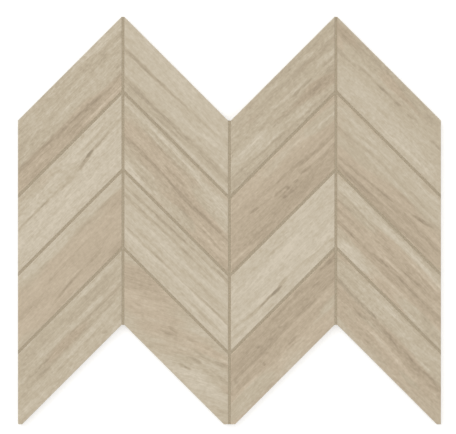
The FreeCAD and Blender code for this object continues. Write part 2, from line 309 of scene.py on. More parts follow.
        (0.30, 0.24, 0.60, 0.26, 3.0, -0.05),
        (0.185, 0.465, 0.27, 0.487, 2.0, -0.32),
        (0.25, 0.49, 0.38, 0.515, 2.0, -0.16),
        (0.34, 0.41, 0.58, 0.405, 1.8, -0.14),
        (0.48, 0.41, 0.76, 0.47, 2.2, -0.16),
        (0.66, 0.488, 0.82, 0.50, 2.0, -0.22),
        (0.76, 0.50, 1.12, 0.54, 2.6, -0.20),
        (0.415, 0.56, 0.485, 0.57, 2.0, -0.28),
        (0.47, 0.56, 0.565, 0.605, 1.8, -0.22),
        (0.46, 0.635, 0.58, 0.64, 1.8, -0.26),
        (0.54, 0.585, 0.565, 0.66, 2.0, -0.20),
        (0.495, 0.67, 0.55, 0.745, 2.2, -0.27),
        (0.555, 0.715, 0.63, 0.715, 2.6, -0.19),
        (0.61, 0.635, 0.655, 0.66, 1.8, -0.24),
        (0.675, 0.605, 0.77, 0.635, 2.2, -0.33),
        (0.74, 0.585, 1.08, 0.615, 2.4, 0.10),
        (0.82, 0.665, 1.08, 0.69, 2.8, -0.12),
        (-0.10, 0.82, 1.10, 0.82, 13.0, -0.13),
        (0.14, 0.82, 0.40, 0.86, 3.2, -0.10),
        (-0.06, 0.885, 0.16, 0.895, 2.2, 0.24),
        (0.10, 0.92, 0.28, 0.955, 3.0, 0.15),
    )),
    # the palest chip, with one bold dark mark low down
    (3, 3): Print(tone=0.81, sandier=0.00, figure=1.0, streaks=streaks(
        (0.20, 0.05, 0.50, 0.09, 4.0, -0.08),
        (0.70, 0.08, 1.02, 0.12, 4.5, -0.09),
        (0.18, 0.21, 0.28, 0.227, 1.8, -0.14),
        (0.33, 0.235, 0.52, 0.257, 1.8, -0.15),
        (0.50, 0.26, 0.66, 0.265, 1.8, -0.08),
        (0.25, 0.45, 1.00, 0.43, 9.0, 0.08),
        (-0.10, 0.15, 1.10, 0.15, 10.0, -0.03),
        (0.24, 0.745, 0.46, 0.745, 3.0, 0.12),
        (0.28, 0.795, 0.44, 0.80, 1.7, -0.52),
        (0.39, 0.812, 0.48, 0.81, 2.1, -0.50),
        (0.45, 0.79, 0.55, 0.765, 2.2, -0.32),
        (0.12, 0.78, 0.32, 0.80, 2.8, -0.20),
        (0.02, 0.735, 0.07, 0.747, 1.8, -0.20),
        (-0.08, 0.87, 0.20, 0.88, 2.4, -0.12),
        (0.56, 0.765, 0.72, 0.77, 2.6, -0.12),
        (0.69, 0.775, 0.80, 0.815, 1.8, -0.18),
        (0.78, 0.815, 0.94, 0.85, 1.8, -0.16),
        (0.94, 0.855, 1.00, 0.875, 2.2, -0.30),
        (0.72, 0.77, 0.86, 0.80, 1.8, 0.09),
        (0.28, 0.925, 0.44, 0.935, 2.2, -0.17),
        (0.12, 0.71, 0.60, 0.72, 6.0, 0.09),
    )),
    # the darkest chip, flecked above and paler below
    (3, 4): Print(tone=0.495, sandier=-0.05, figure=0.85, streaks=streaks(
        (-0.10, 0.27, 1.10, 0.28, 14.0, -0.15),
        (-0.10, 0.85, 1.10, 0.82, 13.0, 0.145),
        (0.40, 0.08, 0.60, 0.08, 2.0, -0.18),
        (0.58, 0.08, 0.71, 0.045, 2.6, -0.18),
        (0.86, 0.065, 1.10, 0.10, 2.8, -0.34),
        (0.48, 0.155, 0.76, 0.17, 2.4, 0.13),
        (0.78, 0.195, 0.87, 0.22, 2.0, -0.18),
        (0.245, 0.255, 0.305, 0.315, 2.0, -0.18),
        (0.36, 0.305, 0.41, 0.37, 1.8, -0.12),
        (0.46, 0.28, 0.50, 0.315, 1.6, -0.14),
        (0.50, 0.345, 0.56, 0.37, 1.8, -0.13),
        (-0.10, 0.39, 0.56, 0.40, 2.4, -0.13),
        (0.62, 0.37, 0.84, 0.40, 3.0, -0.15),
        (0.86, 0.35, 1.06, 0.37, 3.0, -0.14),
        (0.03, 0.415, 0.08, 0.48, 2.0, -0.20),
        (0.315, 0.425, 0.365, 0.48, 1.8, -0.16),
        (0.50, 0.455, 1.00, 0.465, 3.0, 0.15),
        (0.305, 0.54, 0.335, 0.605, 2.2, -0.30),
        (-0.05, 0.53, 0.30, 0.58, 4.0, -0.09),
        (-0.10, 0.665, 0.26, 0.65, 3.5, 0.18),
        (0.46, 0.725, 0.51, 0.775, 2.0, 0.18),
        (0.545, 0.645, 0.63, 0.645, 1.5, -0.22),
        (0.54, 0.71, 0.63, 0.715, 1.6, -0.20),
        (0.60, 0.61, 0.68, 0.64, 2.0, 0.12),
        (0.78, 0.69, 1.10, 0.68, 4.0, 0.14),
        (0.70, 0.10, 1.10, 0.11, 7.0, -0.11),
    )),
    # sand, shaded at the top, with a broken line of flecks over a pale lower half
    (4, 1): Print(tone=0.61, sandier=0.08, figure=0.9, streaks=streaks(
        (-0.10, 0.18, 0.20, 0.15, 8.0, -0.12),
        (-0.10, 0.13, 1.10, 0.12, 9.0, -0.15),
        (0.02, 0.19, 0.14, 0.17, 2.6, -0.06),
        (0.28, 0.10, 0.42, 0.07, 2.6, -0.11),
        (0.33, 0.20, 0.39, 0.18, 2.0, -0.13),
        (0.45, 0.125, 0.50, 0.09, 2.2, -0.12),
        (0.58, 0.15, 0.65, 0.09, 2.2, -0.14),
        (0.84, 0.135, 0.93, 0.11, 2.4, -0.15),
        (0.18, 0.39, 0.34, 0.355, 2.0, -0.18),
        (0.28, 0.372, 0.60, 0.365, 1.8, -0.15),
        (0.38, 0.375, 0.48, 0.365, 2.0, -0.18),
        (0.55, 0.383, 0.61, 0.352, 2.0, -0.27),
        (0.67, 0.38, 0.77, 0.32, 1.8, -0.20),
        (0.89, 0.405, 1.05, 0.395, 2.2, -0.24),
        (0.06, 0.447, 0.17, 0.425, 2.2, -0.20),
        (-0.10, 0.455, 0.10, 0.44, 3.0, -0.14),
        (0.20, 0.44, 0.23, 0.40, 1.6, -0.13),
        (-0.10, 0.74, 1.10, 0.72, 14.0, 0.11),
        (0.34, 0.70, 0.54, 0.66, 3.0, -0.10),
        (0.52, 0.885, 0.84, 0.87, 2.2, 0.15),
        (0.80, 0.88, 1.04, 0.87, 2.6, 0.12),
        (0.78, 0.54, 0.94, 0.45, 3.4, 0.09),
        (-0.10, 0.95, 1.12, 0.94, 5.0, 0.11),
        (0.70, 0.10, 1.12, 0.10, 6.0, 0.10),
    )),
    # pale above a rising dark line, with one bold dash
    (4, 2): Print(tone=0.57, sandier=0.02, figure=0.8, streaks=streaks(
        (-0.10, 0.20, 1.10, 0.18, 16.0, 0.12),
        (0.28, 0.16, 0.42, 0.13, 2.6, 0.12),
        (0.84, 0.11, 0.99, 0.09, 2.4, 0.10),
        (-0.06, 0.19, 0.24, 0.155, 2.8, 0.11),
        (0.70, 0.155, 0.84, 0.12, 2.6, 0.11),
        (0.18, 0.31, 0.40, 0.25, 2.4, 0.10),
        (0.82, 0.39, 1.00, 0.36, 2.4, 0.12),
        (0.30, 0.425, 1.00, 0.41, 2.8, 0.13),
        (0.45, 0.34, 0.95, 0.335, 2.4, -0.14),
        (-0.10, 0.455, 0.12, 0.42, 2.6, -0.18),
        (0.06, 0.40, 0.34, 0.34, 2.2, -0.14),
        (0.26, 0.34, 0.56, 0.305, 2.0, -0.10),
        (0.18, 0.27, 0.38, 0.17, 1.8, -0.10),
        (0.56, 0.50, 0.80, 0.465, 2.2, -0.12),
        (0.735, 0.605, 0.835, 0.555, 2.6, -0.27),
        (0.79, 0.58, 0.915, 0.51, 3.0, -0.33),
        (-0.15, 0.86, 0.22, 0.78, 2.4, -0.20),
        (0.12, 0.80, 0.38, 0.74, 2.0, -0.18),
        (0.30, 0.755, 0.54, 0.68, 2.4, -0.19),
        (0.46, 0.70, 0.80, 0.595, 2.2, -0.13),
        (0.42, 0.745, 1.15, 0.72, 4.0, -0.17),
        (0.00, 0.875, 0.54, 0.815, 2.0, 0.14),
        (-0.10, 0.95, 1.10, 0.83, 11.0, -0.14),
        (0.04, 0.925, 0.48, 0.88, 2.4, -0.16),
        (-0.08, 0.99, 0.14, 0.955, 3.0, -0.18),
        (0.42, 0.98, 0.86, 0.92, 3.0, -0.16),
    )),
    # pale top and lower corner either side of dark flecks and a full dark band
    (4, 3): Print(tone=0.585, sandier=-0.08, figure=1.0, streaks=streaks(
        (-0.10, 0.10, 0.50, 0.11, 7.0, 0.19),
        (0.42, 0.095, 0.84, 0.085, 4.2, 0.19),
        (0.76, 0.10, 1.10, 0.145, 3.0, 0.20),
        (0.55, 0.225, 1.02, 0.24, 1.8, 0.13),
        (0.02, 0.22, 0.38, 0.245, 1.8, -0.16),
        (0.30, 0.252, 0.50, 0.245, 2.0, -0.17),
        (-0.05, 0.34, 0.40, 0.325, 2.2, -0.13),
        (0.60, 0.27, 0.94, 0.275, 2.0, -0.16),
        (0.36, 0.40, 0.41, 0.37, 1.8, -0.18),
        (0.41, 0.33, 0.54, 0.37, 2.2, -0.13),
        (0.48, 0.37, 1.10, 0.36, 5.0, -0.13),
        (0.66, 0.435, 0.90, 0.445, 2.8, -0.18),
        (0.50, 0.45, 0.68, 0.435, 2.0, -0.15),
        (-0.10, 0.485, 0.26, 0.472, 2.4, -0.20),
        (0.48, 0.505, 0.62, 0.50, 2.0, 0.12),
        (-0.15, 0.66, 0.20, 0.64, 2.8, -0.24),
        (0.08, 0.645, 0.38, 0.62, 2.8, -0.24),
        (0.34, 0.617, 0.49, 0.593, 2.6, -0.24),
        (0.42, 0.585, 0.66, 0.575, 3.2, -0.24),
        (0.58, 0.575, 0.76, 0.58, 3.2, -0.18),
        (0.66, 0.60, 1.15, 0.59, 3.6, -0.24),
        (0.05, 0.69, 1.05, 0.68, 5.0, -0.15),
        (0.80, 0.762, 0.93, 0.79, 2.8, -0.15),
        (0.86, 0.89, 1.08, 0.88, 3.6, -0.17),
        (0.43, 0.90, 0.53, 0.935, 2.2, -0.12),
        (-0.10, 0.93, 0.34, 0.92, 7.0, 0.20),
        (0.04, 0.845, 0.20, 0.83, 2.6, 0.14),
        (0.36, 0.785, 0.70, 0.76, 2.4, 0.12),
        (0.64, 0.96, 0.76, 0.955, 2.6, 0.16),
        (0.40, 0.95, 1.12, 0.945, 4.2, 0.08),
        (-0.10, 0.55, 0.50, 0.55, 4.0, -0.09),
    )),
    # pale top third, a crisp dark boundary and a pale cloud below it
    (4, 4): Print(tone=0.55, sandier=0.00, figure=1.15, streaks=streaks(
        (-0.10, 0.19, 1.10, 0.18, 11.0, 0.12),
        (0.44, 0.115, 0.64, 0.095, 2.6, 0.11),
        (0.50, 0.16, 0.68, 0.14, 1.8, -0.10),
        (0.80, 0.18, 1.06, 0.14, 4.0, 0.11),
        (0.04, 0.24, 0.30, 0.22, 3.4, -0.08),
        (0.20, 0.355, 0.46, 0.34, 2.6, 0.10),
        (0.75, 0.40, 0.91, 0.37, 1.8, 0.19),
        (-0.15, 0.385, 0.22, 0.388, 3.0, -0.24),
        (0.12, 0.40, 0.36, 0.405, 2.6, -0.22),
        (0.30, 0.403, 0.37, 0.398, 2.0, -0.22),
        (0.34, 0.445, 0.58, 0.455, 3.2, -0.15),
        (0.46, 0.45, 0.56, 0.46, 2.2, -0.08),
        (0.50, 0.49, 0.82, 0.51, 5.0, -0.10),
        (0.70, 0.465, 1.15, 0.465, 3.0, -0.18),
        (0.79, 0.46, 0.89, 0.467, 2.0, -0.05),
        (0.89, 0.46, 0.94, 0.457, 1.8, -0.16),
        (0.66, 0.58, 0.80, 0.49, 2.6, -0.09),
        (0.88, 0.57, 1.00, 0.52, 2.6, -0.14),
        (0.17, 0.575, 0.29, 0.525, 2.4, -0.18),
        (-0.10, 0.51, 1.10, 0.54, 7.0, -0.12),
        (0.34, 0.64, 0.64, 0.66, 4.0, 0.18),
        (0.26, 0.63, 0.46, 0.615, 2.6, 0.14),
        (0.52, 0.69, 0.74, 0.73, 3.4, 0.14),
        (-0.10, 0.82, 1.10, 0.80, 12.0, -0.06),
        (0.58, 0.87, 0.66, 0.84, 2.4, 0.10),
        (0.54, 0.945, 0.63, 0.92, 2.2, -0.13),
        (-0.15, 0.95, 0.86, 0.945, 5.0, 0.11),
    )),
}

# Areas where the ink is sandier than its tone makes it, with a change above 0, or browner, below 0
HUE_AREAS = {
    (1, 1): streaks(
        (-0.15, 0.85, 1.15, 0.88, 15.0, -0.28),
        (-0.10, 0.30, 1.10, 0.30, 16.0, 0.22),
    ),
    (1, 2): streaks(
        (-0.10, 0.55, 1.10, 0.55, 22.0, 0.15),
    ),
    (1, 3): streaks(
        (-0.10, 0.62, 1.10, 0.62, 22.0, -0.25),
        (-0.10, 0.06, 1.10, 0.06, 6.0, 0.15),
    ),
    (1, 4): streaks(
        (0.08, 0.46, 1.02, 0.46, 16.0, -0.11),
    ),
    (2, 1): [],
    (2, 2): streaks(
        (0.05, 0.08, 0.72, 0.12, 8.0, 0.28),
        (0.66, 0.36, 1.12, 0.36, 8.0, 0.20),
        (-0.10, 0.42, 0.62, 0.42, 9.0, -0.25),
        (0.42, 0.90, 0.66, 0.89, 9.0, 0.25),
        (0.70, 0.80, 1.15, 0.80, 10.0, -0.22),
        (-0.10, 0.88, 0.30, 0.88, 9.0, 0.15),
    ),
    (2, 3): [],
    (2, 4): streaks(
        (-0.10, 0.58, 0.34, 0.28, 22.0, -0.28),
        (0.50, 0.75, 0.85, 0.55, 12.0, 0.25),
        (0.68, 0.30, 0.92, 0.16, 6.0, -0.22),
    ),
    (3, 1): streaks(
        (0.35, 0.72, 0.64, 0.76, 6.0, 0.28),
        (0.74, 0.62, 1.00, 0.80, 7.0, -0.25),
        (0.30, 0.22, 0.85, 0.25, 6.0, 0.12),
        (-0.10, 0.65, 0.30, 0.70, 12.0, 0.10),
    ),
    (3, 2): streaks(
        (-0.10, 0.60, 1.10, 0.62, 24.0, -0.25),
        (0.74, 0.16, 1.12, 0.26, 8.0, 0.35),
    ),
    (3, 3): streaks(
        (-0.10, 0.45, 1.10, 0.45, 18.0, 0.10),
    ),
    (3, 4): streaks(
        (-0.10, 0.80, 0.36, 0.82, 10.0, 0.35),
        (0.86, 0.63, 1.12, 0.66, 5.0, 0.25),
        (-0.10, 0.20, 1.10, 0.22, 14.0, -0.25),
    ),
    (4, 1): streaks(
        (0.60, 0.07, 1.10, 0.10, 7.0, 0.25),
        (0.40, 0.17, 0.60, 0.20, 8.0, -0.14),
        (-0.08, 0.30, 0.06, 0.36, 6.0, -0.20),
        (0.10, 0.70, 0.90, 0.70, 14.0, 0.10),
    ),
    (4, 2): streaks(
        (0.40, 0.38, 1.10, 0.35, 7.0, 0.25),
        (-0.15, 0.88, 1.15, 0.76, 17.0, -0.32),
    ),
    (4, 3): streaks(
        (-0.10, 0.10, 1.10, 0.05, 7.0, 0.28),
        (-0.10, 0.25, 0.36, 0.27, 7.0, 0.22),
        (-0.10, 0.58, 0.75, 0.56, 9.0, -0.30),
        (0.62, 0.88, 1.12, 0.88, 8.0, 0.28),
    ),
    (4, 4): streaks(
        (-0.10, 0.20, 1.10, 0.20, 12.0, 0.30),
        (0.20, 0.66, 0.75, 0.68, 7.0, -0.25),
        (0.60, 0.73, 0.78, 0.76, 6.0, 0.22),
    ),
}

# How the print is laid down

# The inks in order of tone: sand inks in the pale areas and brown inks in the dark ones
SAND_INKS = [(0.0, "#9D8F79"), (0.32, "#B2A38B"), (0.58, "#C2B49B"), (0.81, "#CEC2AC"), (1.0, "#D9CDB8")]
BROWN_INKS = [(0.0, "#9F8E77"), (0.32, "#B4A38A"), (0.58, "#C4B39A"), (0.81, "#D1C1A9"), (1.0, "#DCCDB5")]
# Hues, on the scale of tone, at which an area is wholly brown and wholly sand
BROWN_HUE = 0.45
SAND_HUE = 0.67

# A streak this wide, in mm, shades an area; a thinner one is a mark on it
AREA_WIDTH_MM = 4.0
# How far a streak's ends and sides reach for its stated length and width to show at half strength
STREAK_REACH = 0.7
# Spacing of the noise slices, so that no two chips share a pattern
SLICE_STEP = 7.3

# One pattern of the printed wood: its size along and across the grain, and the detail in its noise.
# Pores are too fine to show, so they are drawn about twice as wide as those of real wood.
Pattern = namedtuple("Pattern", "length_mm width_mm detail roughness")
SWAY = Pattern(30, 8, 4.0, 0.6)
BANDS = Pattern(40, 7, 2.0, 0.5)
HUE_PATCHES = Pattern(45, 16, 1.0, 0.5)
FEATHERING = Pattern(8, 1.0, 3.0, 0.65)
FIBRES = Pattern(12, 1.6, 3.0, 0.6)
PORES = Pattern(4, 0.55, 2.0, 0.5)
MOTTLE = Pattern(2.6, 2.6, 3.0, 0.65)
# The values between which noise mostly lies
NOISE_LOW = 0.25
NOISE_HIGH = 0.75
# How far bands, fibres, pores and the mottle change the tone, and patches the hue
BAND_CHANGE = 0.09
FIBRE_CHANGE = 0.12
PORE_CHANGE = 0.13
MOTTLE_CHANGE = 0.15
HUE_PATCH_CHANGE = 0.11
# The span over which streaks wander, along and across the grain
SWAY_ALONG_MM = 4.0
SWAY_ACROSS_MM = 2.4
# The noise that feathers the streaks, and the strengths it takes them to
FEATHER_NOISE_LOW = 0.30
FEATHER_NOISE_HIGH = 0.70
FEATHER_WEAKEST = 0.45
FEATHER_STRONGEST = 1.55

# How far up the surface faces, from 0 to 1, where the print begins and where it is whole
PRINT_BEGINS = 0.3
PRINT_WHOLE = 0.6
# The same at the flat end and the steep end of the arris, which is this much paler: in part because the print
# lies thin there, in part as a painted highlight that offsets the shade on the bevel
ARRIS_FLAT = 0.95
ARRIS_STEEP = 0.80
ARRIS_THIN_PRINT_AND_PAINTED_HIGHLIGHT = 0.25
# The satin glaze's roughness, which goes with the fibres, and its relief
GLAZE_SMOOTHEST = 0.50
GLAZE_ROUGHEST = 0.62
GLAZE_RELIEF_MM = 0.06
GLAZE_RELIEF_STRENGTH = 0.5

# The fired body; its grit is too fine to show, so it is drawn coarser
BODY_COLOURS = [(0.30, "#9E9079"), (0.45, "#BFB29B"), (0.70, "#CCC1AD")]
BODY_GRIT_MM = 0.7
# Size of the wheel's marks along, across and up a ground side, and their share in its grain
WHEEL_MARK_MM = (9, 9, 0.35)
WHEEL_SHARE = 0.35
BODY_DETAIL = 2.0
# Depth of the glaze that shows as a pale line on the chip's ground sides, and the share that shows in full
GLAZE_DEPTH_MM = 0.9
GLAZE_FULL = 0.7
GLAZE_COLOUR = "#D6CCB8"

# Sanded grout; its sand is too fine to show, so it is drawn coarser
GROUT_COLOURS = [(0.30, "#A2947C"), (0.50, "#B1A38B"), (0.72, "#BEB19A")]
GROUT_SAND_MM = 0.6
GROUT_DETAIL = 3.0
GROUT_ROUGHNESS = 0.9
GROUT_RELIEF_MM = 0.1
GROUT_RELIEF_STRENGTH = 0.6

# Glass yarn; a filament is far too fine to show, so bundles of them are drawn, of this length and width
YARN_COLOURS = [(0.30, "#C9C5BA"), (0.50, "#DEDBD2"), (0.70, "#EAE8E1")]
BUNDLE_LENGTH_MM = 9
BUNDLE_WIDTH_MM = 0.22
YARN_DETAIL = 2.0
YARN_ROUGHNESS = 0.5
YARN_RELIEF_MM = 0.05
YARN_RELIEF_STRENGTH = 0.6

# Sockets of a Mix node by number, because they share names: two colours and their mix, two values and theirs
COLOUR_A = 6
COLOUR_B = 7
MIXED_COLOUR = 2
VALUE_A = 2
VALUE_B = 3
MIXED_VALUE = 0


def linear(hex_colour):
    """A linear colour from an sRGB hex value."""
    channels = [int(hex_colour[i:i + 2], 16) / 255 for i in (1, 3, 5)]
    return [c / 12.92 if c <= 0.04045 else ((c + 0.055) / 1.055) ** 2.4 for c in channels] + [1.0]


def add(tree, kind, settings=None, inputs=None):
    """Adds a node with its settings; an input takes a value or, from another node's output, a link.
    The stops of a ramp are places on it with their sRGB hex values."""
    node = tree.nodes.new("ShaderNode" + kind)
    for name, value in (settings or {}).items():
        if name == "stops":
            ramp = node.color_ramp.elements
            while len(ramp) < len(value):
                ramp.new(0.5)
            for element, (position, hex_colour) in zip(ramp, value):
                element.position = position
                element.color = linear(hex_colour)
        else:
            setattr(node, name, value)
    for key, value in (inputs or {}).items():
        socket = node.inputs[key]
        if isinstance(value, bpy.types.NodeSocket):
            tree.links.new(value, socket)
        else:
            socket.default_value = value
    return node


def new_material(name):
    """An empty node material with its output."""
    material = bpy.data.materials.new(name)
    material.use_nodes = True
    material.node_tree.nodes.clear()
    return material, material.node_tree, add(material.node_tree, "OutputMaterial")


def dress(obj, material):
    """Puts one material on every slot of an object."""
    if not obj.material_slots:
        obj.data.materials.append(material)
    for slot in obj.material_slots:
        slot.material = material


# Where the chips lie

Chip = namedtuple("Chip", "name middle width edge turn face_mm")


def chip_place(column, row):
    """The middle, width, upright edge and slant of a chip in mm, from its box and that of the top chip
    of its column; a point clipped off at the foot doesn't matter."""
    name = f"chip_column{column}_row{row}"
    low, high = (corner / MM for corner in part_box(name))
    full_low, full_high = (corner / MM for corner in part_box(f"chip_column{column}_row1"))
    width = high.x - low.x
    rise = width * math.tan(CHEVRON_ANGLE)
    edge = full_high.y - full_low.y - rise
    middle = Vector(((low.x + high.x) / 2, high.y - (rise + edge) / 2))
    turn = CHEVRON_ANGLE if column % 2 else -CHEVRON_ANGLE
    return Chip(name, middle, width, edge, turn, high.z)


def along_and_across(chip, place):
    """A place on the chip, as Streak has it, in mm along and across the chip's slant from its middle."""
    u, v = place
    along = (u - 0.5) * chip.width / math.cos(chip.turn) - (v - 0.5) * chip.edge * math.sin(chip.turn)
    across = -(v - 0.5) * chip.edge * math.cos(chip.turn)
    return Vector((along, across))


def wood_print(tree, place, upward, chip, chip_print, hue_areas, slice_z):
    """The colour of a chip's print, and the fibres in it."""
    # Millimetres along and across the slant, from the chip's middle, with a noise slice of its own
    cos, sin = math.cos(chip.turn), math.sin(chip.turn)
    x, y = chip.middle
    shift = (-x * cos - y * sin, x * sin - y * cos, slice_z)
    grain = add(tree, "Mapping", {"vector_type": "POINT"}, {
        "Vector": place, "Location": shift, "Rotation": (0, 0, -chip.turn), "Scale": (1 / MM, 1 / MM, 0),
    }).outputs["Vector"]

    def laid(pattern, vector, output="Fac"):
        """A pattern of the wood, laid along the grain."""
        stretched = add(tree, "Mapping", {"vector_type": "TEXTURE"}, {
            "Vector": vector, "Rotation": (0, 0, chip_print.grain_turn),
            "Scale": (pattern.length_mm, pattern.width_mm, 1),
        }).outputs["Vector"]
        return add(tree, "TexNoise", {}, {
            "Vector": stretched, "Scale": 1.0, "Detail": pattern.detail, "Roughness": pattern.roughness,
        }).outputs[output]

    # The drawn streaks wander off straight lines
    sway = add(tree, "VectorMath", {"operation": "MULTIPLY_ADD"}, {
        0: laid(SWAY, grain, "Color"), 1: (SWAY_ALONG_MM, SWAY_ACROSS_MM, 0),
        2: (-SWAY_ALONG_MM / 2, -SWAY_ACROSS_MM / 2, 0),
    }).outputs["Vector"]
    wandering = add(tree, "VectorMath", {"operation": "ADD"}, {0: grain, 1: sway}).outputs["Vector"]

    def drawn(under, streak):
        """A tone or a hue with one streak drawn over it."""
        start = along_and_across(chip, streak.start)
        end = along_and_across(chip, streak.end)
        run = end - start
        centre = (start + end) / 2
        near = add(tree, "Mapping", {"vector_type": "TEXTURE"}, {
            "Vector": wandering, "Location": (centre.x, centre.y, slice_z),
            "Rotation": (0, 0, math.atan2(run.y, run.x)),
            "Scale": (run.length * STREAK_REACH, streak.width_mm * STREAK_REACH, 1),
        }).outputs["Vector"]
        squared = add(tree, "VectorMath", {"operation": "DOT_PRODUCT"}, {0: near, 1: near}).outputs["Value"]
        mark = add(tree, "MapRange", {"interpolation_type": "SMOOTHSTEP"}, {
            "Value": squared, "From Min": 1.0, "From Max": 0.0, "To Min": 0.0, "To Max": streak.change,
        }).outputs["Result"]
        return add(tree, "Math", {"operation": "ADD"}, {0: under, 1: mark}).outputs[0]

    # Soft bands about the chip's own tone, and the drawn areas and marks
    level = add(tree, "MapRange", {"clamp": False}, {
        "Value": laid(BANDS, wandering), "From Min": NOISE_LOW, "From Max": NOISE_HIGH,
        "To Min": chip_print.tone - BAND_CHANGE, "To Max": chip_print.tone + BAND_CHANGE,
    }).outputs["Result"]
    areas = 0.0
    marks = 0.0
    for streak in chip_print.streaks:
        if streak.width_mm >= AREA_WIDTH_MM:
            areas = drawn(areas, streak)
        else:
            marks = drawn(marks, streak)

    # Hue goes with the broad tone, strays from it in patches and is changed where the print was drawn so
    patches = add(tree, "MapRange", {"clamp": False}, {
        "Value": laid(HUE_PATCHES, grain), "From Min": NOISE_LOW, "From Max": NOISE_HIGH,
        "To Min": chip_print.sandier - HUE_PATCH_CHANGE, "To Max": chip_print.sandier + HUE_PATCH_CHANGE,
    }).outputs["Result"]
    hue = level
    for change in (areas, patches):
        hue = add(tree, "Math", {"operation": "ADD"}, {0: hue, 1: change}).outputs[0]
    for area in hue_areas:
        hue = drawn(hue, area)
    brownness = add(tree, "MapRange", {"interpolation_type": "SMOOTHSTEP"}, {
        "Value": hue, "From Min": SAND_HUE, "From Max": BROWN_HUE,
    }).outputs["Result"]

    # The streaks are feathered, and fibres, pores and a mottle lie over them
    feather = add(tree, "MapRange", {}, {
        "Value": laid(FEATHERING, wandering), "From Min": FEATHER_NOISE_LOW, "From Max": FEATHER_NOISE_HIGH,
        "To Min": FEATHER_WEAKEST, "To Max": FEATHER_STRONGEST,
    }).outputs["Result"]
    streaked = add(tree, "Math", {"operation": "ADD"}, {0: areas, 1: marks}).outputs[0]
    tone = add(tree, "Math", {"operation": "MULTIPLY_ADD"}, {0: streaked, 1: feather, 2: level}).outputs[0]
    fibres = laid(FIBRES, wandering)
    pores = laid(PORES, wandering)
    mottle = laid(MOTTLE, grain)
    for figure, change in ((fibres, FIBRE_CHANGE), (pores, PORE_CHANGE), (mottle, MOTTLE_CHANGE)):
        reach = change * chip_print.figure
        shade = add(tree, "MapRange", {"clamp": False}, {
            "Value": figure, "From Min": NOISE_LOW, "From Max": NOISE_HIGH, "To Min": -reach, "To Max": reach,
        }).outputs["Result"]
        tone = add(tree, "Math", {"operation": "ADD"}, {0: tone, 1: shade}).outputs[0]
    # A paler line runs along each edge: in part the print lying thin over the bevelled arris, in part a
    # painted highlight that offsets the shade on the bevel
    arris = add(tree, "MapRange", {}, {
        "Value": upward, "From Min": ARRIS_FLAT, "From Max": ARRIS_STEEP,
        "To Min": 0.0, "To Max": ARRIS_THIN_PRINT_AND_PAINTED_HIGHLIGHT,
    }).outputs["Result"]
    tone = add(tree, "Math", {"operation": "ADD"}, {0: tone, 1: arris}).outputs[0]

    sand, brown = (
        add(tree, "ValToRGB", {"stops": inks}, {"Fac": tone}).outputs["Color"]
        for inks in (SAND_INKS, BROWN_INKS)
    )
    ink = add(tree, "Mix", {"data_type": "RGBA"}, {
        "Factor": brownness, COLOUR_A: sand, COLOUR_B: brown,
    }).outputs[MIXED_COLOUR]
    return ink, fibres


def fired_body(tree, place, face_mm):
    """The colour of a chip's sides and back, and the grain in it: speckled, with level marks of the
    grinding wheel, and with the pale line of the glaze under the face."""
    grit = add(tree, "TexNoise", {}, {
        "Vector": place, "Scale": 1 / (BODY_GRIT_MM * MM), "Detail": BODY_DETAIL,
    }).outputs["Fac"]
    wheel_place = add(tree, "Mapping", {"vector_type": "TEXTURE"}, {
        "Vector": place, "Scale": [size * MM for size in WHEEL_MARK_MM],
    }).outputs["Vector"]
    wheel = add(tree, "TexNoise", {}, {
        "Vector": wheel_place, "Scale": 1.0, "Detail": BODY_DETAIL,
    }).outputs["Fac"]
    body_grain = add(tree, "Mix", {"data_type": "FLOAT"}, {
        "Factor": WHEEL_SHARE, VALUE_A: grit, VALUE_B: wheel,
    }).outputs[MIXED_VALUE]
    speckled = add(tree, "ValToRGB", {"stops": BODY_COLOURS}, {"Fac": body_grain}).outputs["Color"]
    height = add(tree, "SeparateXYZ", {}, {"Vector": place}).outputs["Z"]
    glaze = add(tree, "MapRange", {"interpolation_type": "SMOOTHSTEP"}, {
        "Value": height, "From Min": (face_mm - GLAZE_DEPTH_MM) * MM,
        "From Max": (face_mm - GLAZE_FULL * GLAZE_DEPTH_MM) * MM,
    }).outputs["Result"]
    body = add(tree, "Mix", {"data_type": "RGBA"}, {
        "Factor": glaze, COLOUR_A: speckled, COLOUR_B: linear(GLAZE_COLOUR),
    }).outputs[MIXED_COLOUR]
    return body, body_grain


def printed_porcelain(chip, chip_print, hue_areas, slice_z):
    """Porcelain with a matt ink-jet wood print under a satin glaze: soft sand and taupe bands along the chip,
    thin dark grain marks and a fine mottle; the cut sides and the back show the speckled beige body."""
    material, tree, output = new_material("printed_porcelain_" + chip.name)
    place = add(tree, "TexCoord").outputs["Object"]
    normal = add(tree, "NewGeometry").outputs["Normal"]
    upward = add(tree, "SeparateXYZ", {}, {"Vector": normal}).outputs["Z"]
    ink, fibres = wood_print(tree, place, upward, chip, chip_print, hue_areas, slice_z)
    body, body_grain = fired_body(tree, place, chip.face_mm)

    # The print stops at the arris, and below it the body shows
    face = add(tree, "MapRange", {}, {
        "Value": upward, "From Min": PRINT_BEGINS, "From Max": PRINT_WHOLE,
    }).outputs["Result"]
    colour = add(tree, "Mix", {"data_type": "RGBA"}, {
        "Factor": face, COLOUR_A: body, COLOUR_B: ink,
    }).outputs[MIXED_COLOUR]
    roughness = add(tree, "MapRange", {}, {
        "Value": fibres, "From Min": NOISE_LOW, "From Max": NOISE_HIGH,
        "To Min": GLAZE_SMOOTHEST, "To Max": GLAZE_ROUGHEST,
    }).outputs["Result"]
    texture = add(tree, "Mix", {"data_type": "FLOAT"}, {
        "Factor": face, VALUE_A: body_grain, VALUE_B: fibres,
    }).outputs[MIXED_VALUE]
    relief = add(tree, "Bump", {}, {
        "Strength": GLAZE_RELIEF_STRENGTH, "Distance": GLAZE_RELIEF_MM * MM, "Height": texture,
    }).outputs["Normal"]
    shader = add(tree, "BsdfPrincipled", {}, {
        "Base Color": colour, "Roughness": roughness, "Normal": relief,
    })
    tree.links.new(shader.outputs["BSDF"], output.inputs["Surface"])
    return material


